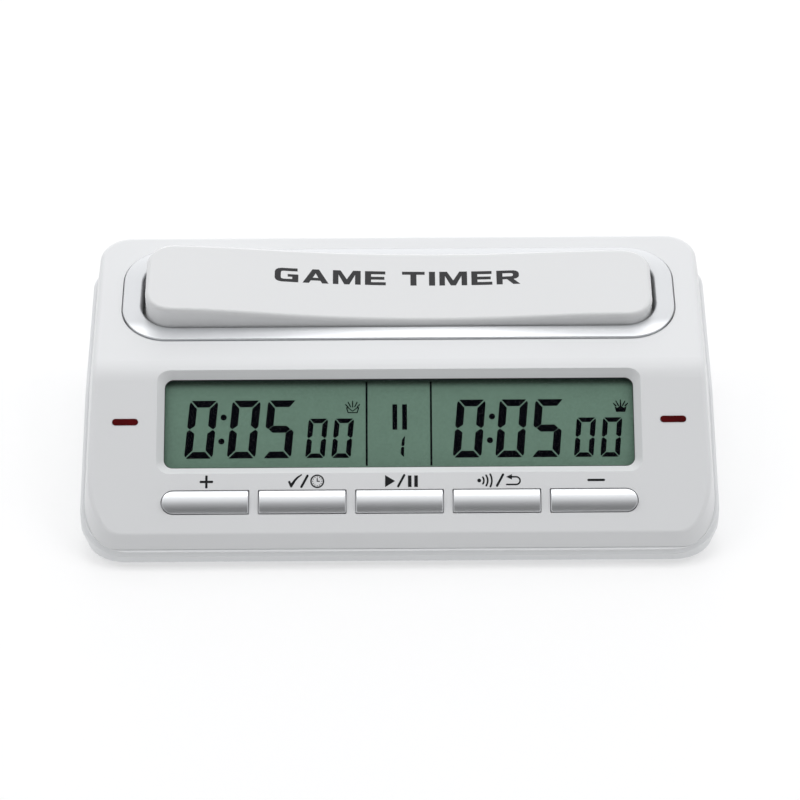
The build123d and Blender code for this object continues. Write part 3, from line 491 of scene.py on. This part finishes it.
def digit(x0, y0, size, lit):
    """mitred seven-segment bars with rounded outer corners; a five's open ends are slanted"""
    h, w, t, gap = size
    mid = h / 2
    k = t / 1.9      # mitre sizes are drawn for a 1.9 mm bar

    def flip_x(bar):
        return [(w - x, y) for x, y in bar]

    def flip_y(bar):
        return [(x, h - y) for x, y in bar]

    if lit == FIVE:
        right_end = [(w - 0.42, h), (w - 0.42, h - 0.16), (w - 1.55, h - t * 0.90)]
    else:
        right_end = [(w - 0.66 * k, h), (w - 0.50 * k, h - 0.10 * k),
                     (w - t - 0.10 * k, h - t * 0.90)]
    top = [(0.66 * k, h), *right_end, (t + 0.10 * k, h - t * 0.90), (0.50 * k, h - 0.10 * k)]
    bottom = flip_y(top)
    if lit == FIVE:
        bottom = flip_x(bottom)
    upper_left = [
        (0, h - 1.02 * k), (0.08 * k, h - 0.68 * k), (0.32 * k, h - 0.40 * k),
        (t, h - t - 0.22 * k), (t, mid + 1.02 * k), (t * 0.40, mid + gap * 0.55),
        (t * 0.28, mid + gap * 0.55), (0, mid + 0.66 * k)]
    middle = [
        (t * 0.34 + 0.16 * k, mid), (t * 0.98, mid + t * 0.47), (w - t * 0.98, mid + t * 0.47),
        (w - t * 0.34 - 0.16 * k, mid), (w - t * 0.98, mid - t * 0.47),
        (t * 0.98, mid - t * 0.47)]
    bars = {"A": top, "B": flip_x(upper_left), "C": flip_x(flip_y(upper_left)),
            "D": bottom, "E": flip_y(upper_left), "F": upper_left, "G": middle}
    return [[(x0 + x + SLANT * y, y0 + y) for x, y in bars[c]] for c in lit]


def time_face(name, large_x, small_x, colon, base):
    """0:05 in large digits and 00 in small ones"""
    shapes = []
    for x, lit in zip(large_x, (ZERO, ZERO, FIVE)):
        shapes += digit(x, base, LARGE, lit)
    for x in small_x:
        shapes += digit(x, base, SMALL, ZERO)
    ink(name, shapes + [circle(*dot, 0.76, 24) for dot in colon])


def lcd_middle():
    """two dividers, a pair of short bars, and a two-part upright below them"""
    shapes = [box(x - 0.24, 17.95, x + 0.24, 39.4) for x in (-7.98, 7.84)]
    shapes += [box(x, 27.12, x + 1.18, 33.62) for x in (-1.64, 0.76)]
    upper = [(0.28, 2.95), (0.50, 2.80), (0.86, 2.80), (1.02, 2.98), (1.22, 5.22),
             (1.10, 5.30), (0.50, 4.45)]
    lower = [(0.08, 0.85), (0.78, 0.05), (0.92, 0.15), (1.00, 2.40), (0.86, 2.56),
             (0.46, 2.56), (0.22, 2.30)]
    ink("lcd_middle", shapes + [shift(part, 0.22, 20.15) for part in (upper, lower)])


def coronet(name, x, base, filled):
    """five rays over a small crown, solid or in outline"""
    tips = [(-1.74, 2.20), (-1.10, 2.78), (0.0, 3.05), (1.10, 2.78), (1.74, 2.20)]
    feet = [(-1.12, 1.55), (-0.52, 1.62), (0.0, 1.55), (0.52, 1.62), (1.12, 1.55)]
    shapes = [stroke(shift(ray, x, base), 0.36 if filled else 0.27, end_width=0.27)
              for ray in zip(feet, tips)]
    if filled:
        crown = [(-1.12, 0), (1.12, 0), (1.48, 1.42), (0.80, 1.05), (0, 1.62),
                 (-0.80, 1.05), (-1.48, 1.42)]
        shapes.append(shift(crown, x, base))
    else:
        lines = ([(-1.10, 0.1), (1.10, 0.1)],
                 [(-1.10, 0.1), (-1.50, 1.38)],
                 [(1.10, 0.1), (1.50, 1.38)],
                 [(-1.50, 1.38), (-1.02, 1.30), (0, 0.48), (1.02, 1.30), (1.50, 1.38)])
        shapes += [stroke(shift(line, x, base), 0.25) for line in lines]
    ink(name, shapes)


time_face("lcd_time_left", large_x=(-52.72, -42.26, -33.50), small_x=(-23.06, -16.68),
          colon=((-43.10, 30.51), (-43.60, 24.36)), base=20.0)
time_face("lcd_time_right", large_x=(13.06, 23.46, 32.25), small_x=(42.74, 49.20),
          colon=((22.82, 30.38), (22.24, 24.28)), base=19.9)
lcd_middle()
coronet("lcd_coronet_left", -11.41, 31.45, filled=False)
coronet("lcd_coronet_right", 54.45, 31.35, filled=True)

# ------------------------------------------------------------------ lettering on the rocker
TEXT = "GAME TIMER"
TEXT_X, TEXT_Y = -31.0, 27.0    # lower left corner
TEXT_WIDTH, TEXT_HEIGHT = 61.6, 4.92
LETTER_GAP, WORD_GAP = 0.185, 0.52      # in letter units, as below
STEM, BAR = 0.262, 0.212        # stroke widths over the letter height
M_STEM = STEM * 0.92
EDGE_STEP = 0.8                 # long edges are split, so that the print follows the hollow

# wide bold capitals, 1 high: width, then the outline and any hole
GLYPHS = {
    "E": (0.90, [[
        (0, 0), (0.90, 0), (0.90, BAR), (STEM, BAR), (STEM, 0.5 - BAR * 0.48),
        (0.84, 0.5 - BAR * 0.48), (0.84, 0.5 + BAR * 0.48), (STEM, 0.5 + BAR * 0.48),
        (STEM, 1 - BAR), (0.88, 1 - BAR), (0.88, 1), (0, 1)]]),
    "T": (0.98, [[
        (0.49 - STEM / 2, 0), (0.49 + STEM / 2, 0), (0.49 + STEM / 2, 1 - BAR),
        (0.98, 1 - BAR), (0.98, 1), (0, 1), (0, 1 - BAR), (0.49 - STEM / 2, 1 - BAR)]]),
    "I": (STEM, [box(0, 0, STEM, 1)]),
    "M": (1.20, [[
        (0, 0), (M_STEM, 0), (M_STEM, 0.70), (0.49, 0), (0.71, 0), (1.20 - M_STEM, 0.70),
        (1.20 - M_STEM, 0), (1.20, 0), (1.20, 1), (0.87, 1), (0.60, 0.36), (0.33, 1), (0, 1)]]),
    "A": (1.12, [
        [(0, 0), (0.275, 0), (0.355, 0.19), (0.765, 0.19), (0.845, 0), (1.12, 0), (0.70, 1),
         (0.42, 1)],
        [(0.435, 0.385), (0.685, 0.385), (0.56, 0.72)]]),
    "R": (1.02, [
        [(0, 0), (STEM, 0), (STEM, 0.36), (0.46, 0.36), (0.72, 0), (1.02, 0), (0.735, 0.375),
         (0.86, 0.42), (0.945, 0.50), (0.975, 0.60), (0.975, 0.76), (0.94, 0.88),
         (0.86, 0.96), (0.74, 1), (0, 1)],
        [(STEM, 0.565), (0.64, 0.565), (0.70, 0.60), (0.72, 0.68), (0.70, 0.765),
         (0.64, 0.80), (STEM, 0.80)]]),
    "G": (1.02, [[
        (0.30, 0), (1.02, 0), (1.02, 0.56), (0.56, 0.56), (0.56, 0.38), (1.02 - STEM, 0.38),
        (1.02 - STEM, BAR), (0.36, BAR), (0.285, 0.245), (0.262, 0.32), (0.262, 0.68),
        (0.285, 0.755), (0.36, 1 - BAR), (0.98, 1 - BAR), (0.98, 1), (0.30, 1),
        (0.14, 0.955), (0.04, 0.86), (0, 0.72), (0, 0.28), (0.04, 0.14), (0.14, 0.045)]]),
}


def split_edges(loop):
    out = []
    for i in range(len(loop)):
        (x1, y1), (x2, y2) = loop[i], loop[(i + 1) % len(loop)]
        parts = max(1, int(math.hypot(x2 - x1, y2 - y1) / EDGE_STEP))
        out += [(x1 + (x2 - x1) * m / parts, y1 + (y2 - y1) * m / parts) for m in range(parts)]
    return out


def rocker_text():
    rocker = nodes["rocker"].data
    surface = BVHTree.FromPolygons([v.co.copy() for v in rocker.vertices],
                                   [tuple(p.vertices) for p in rocker.polygons])

    def on_rocker(x, y, out):
        """drop the point onto the hollow surface from 30 mm above"""
        hit = surface.ray_cast(over_rocker(x, y, 30), -rocker_normal)[0]
        return hit + rocker_normal * (out / 1000)

    def advance(letter):
        return WORD_GAP if letter == " " else GLYPHS[letter][0] + LETTER_GAP

    scale = TEXT_WIDTH / (sum(advance(c) for c in TEXT) - LETTER_GAP)
    x = TEXT_X
    shapes = []
    for letter in TEXT:
        if letter != " ":
            shapes.append([split_edges([(x + px * scale, TEXT_Y + py * TEXT_HEIGHT)
                                        for px, py in loop]) for loop in GLYPHS[letter][1]])
        x += advance(letter) * scale
    build("rocker_legend", mats["print_rocker"], shapes, (-0.05, 0.03), "rocker", on_rocker)


rocker_text()


# ------------------------------------------------------------------ floor
def floor_material():
    """faintly glowing white; clear from below, so that the underside shows"""
    mat, tree = new_material("floor_white")
    shader = tree.nodes["Principled BSDF"]
    coords = node(tree, "TexCoord").outputs["Object"]
    color = ramp(tree, noise(tree, coords, 9.0).outputs["Fac"],
                 [(0, (0.595, 0.595, 0.595)), (1, (0.605, 0.605, 0.607))])
    feed(tree, shader, {
        "Base Color": color, "Roughness": 0.7, "Specular IOR Level": 0.15,
        "Emission Color": (1, 1, 1, 1), "Emission Strength": 0.40})
    below = node(tree, "NewGeometry").outputs["Backfacing"]
    clear = node(tree, "BsdfTransparent")
    mix = node(tree, "MixShader", {0: below, 1: shader.outputs[0], 2: clear.outputs[0]})
    feed(tree, tree.nodes["Material Output"], {"Surface": mix.outputs[0]})
    return mat


def add_floor(half):
    mat = floor_material()
    mesh = bpy.data.meshes.new("floor")
    corners = [(x, y, 0) for x, y in box(-half, -half, half, half)]
    mesh.from_pydata(corners, [], [(0, 1, 2, 3)])
    floor = bpy.data.objects.new("floor", mesh)
    bpy.context.scene.collection.objects.link(floor)
    mesh.materials.append(mat)


add_floor(half=3.0)

# ------------------------------------------------------------------ world
# brightness over the middle: degrees from the front horizon, over the top, to the back one
SKY = [(0, 0.06), (30, 0.12), (54, 0.38), (72, 0.82), (90, 1.04), (110, 1.14), (127, 1.32),
       (145, 1.90), (165, 1.90), (180, 1.40)]
SIDE_LEFT, SIDE_RIGHT = 0.57, 0.595     # brightness of the side walls
SIDE_BACK = 0.6                         # how much they brighten to the back, dim to the front


def studio_world():
    """white studio: bright behind, softer overhead, dim low in front; white side walls"""
    world = bpy.data.worlds.new("studio")
    bpy.context.scene.world = world
    world.use_nodes = True
    tree = world.node_tree
    view = node(tree, "TexCoord").outputs["Generated"]
    xyz = node(tree, "SeparateXYZ", {0: view}).outputs
    forward = calc(tree, "MULTIPLY", xyz["Y"], -1.0)
    angle = calc(tree, "ARCTAN2", xyz["Z"], forward)
    turn = calc(tree, "MULTIPLY", angle, 1.0 / math.pi)
    sky = ramp(tree, turn, [(degrees / 180.0, (level,) * 3) for degrees, level in SKY])
    sideways = calc(tree, "ABSOLUTE", xyz["X"])
    side_share = node(tree, "MapRange", {"Value": sideways, "From Min": 0.06, "From Max": 0.45},
                      interpolation_type="SMOOTHSTEP")
    wall = node(tree, "MapRange", {"Value": xyz["X"], "From Min": -0.5, "From Max": 0.5,
                                   "To Min": SIDE_LEFT, "To Max": SIDE_RIGHT})
    back = calc(tree, "MULTIPLY_ADD", xyz["Y"], SIDE_BACK, 1.0)
    side = calc(tree, "MULTIPLY", wall.outputs["Result"], back)
    level = node(tree, "Mix", {0: side_share.outputs["Result"], 2: sky, 3: side},
                 data_type="FLOAT")
    feed(tree, tree.nodes["Background"], {"Strength": level.outputs[0],
                                          "Color": (0.985, 0.99, 1.0, 1)})


studio_world()

# ------------------------------------------------------------------ lights
LIGHT_AIM = Vector((0, 0, 0.02))
LIGHTS = [      # name, place, width, depth, watts
    ("soft_left", (-0.66, 0.02, 0.86), 0.7, 0.6, 1.7),
    ("soft_right", (0.66, 0.02, 0.86), 0.7, 0.6, 1.8),
    ("soft_top", (0, 0.36, 0.94), 0.8, 0.35, 1.3),
]
for name, place, width, depth, watts in LIGHTS:
    light = bpy.data.lights.new(name, "AREA")
    light.shape = "RECTANGLE"
    light.size, light.size_y = width, depth
    light.energy = watts
    lamp = bpy.data.objects.new(name, light)
    bpy.context.scene.collection.objects.link(lamp)
    lamp.location = place
    lamp.rotation_euler = (LIGHT_AIM - Vector(place)).to_track_quat("-Z", "Y").to_euler()

# ------------------------------------------------------------------ camera
CAMERA_PLACE = (0.0, -0.67305, 0.52503)
CAMERA_DOWN = math.radians(37.0)    # looks this far below the horizon
CAMERA_ROLL = 0.006                 # slope of the roll

cam = bpy.data.cameras.new("camera")
cam.sensor_fit = "HORIZONTAL"
cam.sensor_width = 36.0
cam.lens = 151.83
cam.shift_x = 0.00125
cam.clip_start = 0.01
cam.clip_end = 20.0
camera = bpy.data.objects.new("camera", cam)
bpy.context.scene.collection.objects.link(camera)
look = Vector((0, math.cos(CAMERA_DOWN), -math.sin(CAMERA_DOWN)))
up = Vector((0, math.sin(CAMERA_DOWN), math.cos(CAMERA_DOWN)))
right = Vector((1, 0, 0))
turned = Matrix(((right - CAMERA_ROLL * up).normalized(),
                 (up + CAMERA_ROLL * right).normalized(), -look)).transposed()
camera.matrix_world = Matrix.Translation(CAMERA_PLACE) @ turned.to_4x4()
bpy.context.scene.camera = camera
bpy.context.scene.view_settings.view_transform = "Standard"
bpy.context.scene.view_settings.look = "None"
